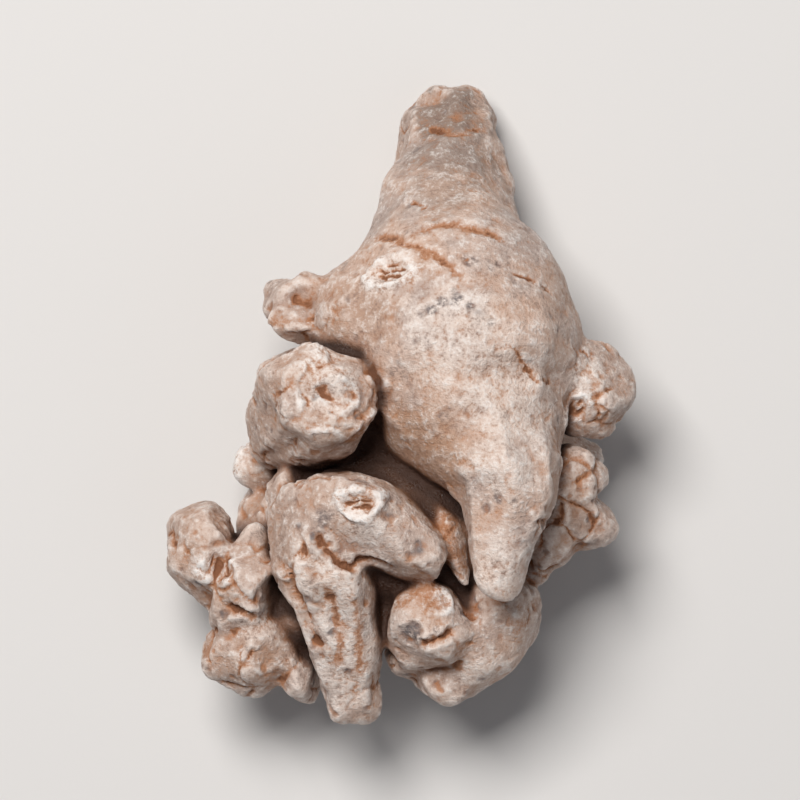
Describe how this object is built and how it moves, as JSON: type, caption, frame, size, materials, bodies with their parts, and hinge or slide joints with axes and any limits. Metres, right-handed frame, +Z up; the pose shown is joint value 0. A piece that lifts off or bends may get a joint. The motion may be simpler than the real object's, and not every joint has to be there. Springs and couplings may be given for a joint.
{
  "type": "dried notoginseng root",
  "caption": "Dried notoginseng root: a fat tapering taproot with a knobbly crown of nodules and broken side-root stubs, lying on its side.",
  "frame": {"origin": "on the surface that the root lies on, under the middle of its bounding box", "axes": "+Z up, +Y from the knobbly crown towards the taproot's tip, +X to the right of that"},
  "size_m": [0.036, 0.049, 0.0223],
  "materials": {
    "dried_skin": "dry matt bark-like skin, beige grey with fine pale and blue-grey specks, orange brown in the creases"
  },
  "bodies": {
    "root": {"notoginseng_root": "dried_skin"}
  },
  "joints": []
}
